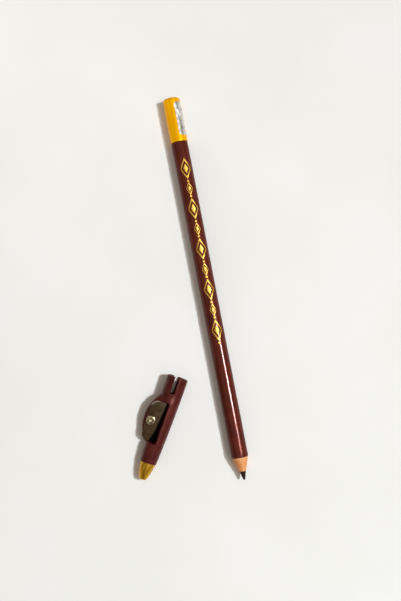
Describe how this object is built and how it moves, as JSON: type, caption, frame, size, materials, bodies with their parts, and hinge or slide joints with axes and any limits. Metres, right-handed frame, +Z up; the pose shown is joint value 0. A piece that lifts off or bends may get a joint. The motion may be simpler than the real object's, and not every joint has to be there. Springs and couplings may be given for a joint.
{
  "type": "eyeliner pencil with sharpener cap",
  "caption": "Round wood-cased eyeliner pencil with a gold end and a bare sharpened point, lying beside its loose cap, which has a slotted mouth and a screwed-on sharpener blade.",
  "frame": {"origin": "bottom centre of the layout's bounding box, on the table", "axes": "+Y along the pencil from its point to its gold end, +Z up from the table, +X from the cap to the pencil"},
  "size_m": [0.0496, 0.174, 0.0096],
  "materials": {
    "wood": "bare, smooth cut",
    "lead": "waxy pigment",
    "lacquer": "glossy burgundy lacquer",
    "gold_coat": "gold-yellow dip",
    "foil": "metallised foil face",
    "cap_plastic": "satin moulded burgundy",
    "gold_plastic": "metallised gold",
    "blade_steel": "oiled spring steel",
    "screw_plating": "bright nickel plate"
  },
  "bodies": {
    "pencil": {"casing_upper_half": "wood", "casing_lower_half": "wood", "pigment_lead": "lead", "barrel_lacquer": "lacquer", "gold_end_cup": "gold_coat", "foil_label": "foil"},
    "cap": {"cap_body": "cap_plastic", "cap_gold_tip": "gold_plastic", "sharpener_blade": "blade_steel"},
    "screw": {"blade_screw": "screw_plating"}
  },
  "joints": [
    {"name": "cap_swing", "type": "hinge", "parent": "pencil", "child": "cap", "pos_m": [0.12595, -0.03021, 0], "axis": [0, 0, 1], "range_deg": [0, 30.2]},
    {"name": "screw_turn", "type": "hinge", "parent": "cap", "child": "screw", "pos_m": [-0.0146, -0.05306, 0.00691], "axis": [-0.109, -0.1873, 0.9762], "range_deg": [0, 360]}
  ]
}
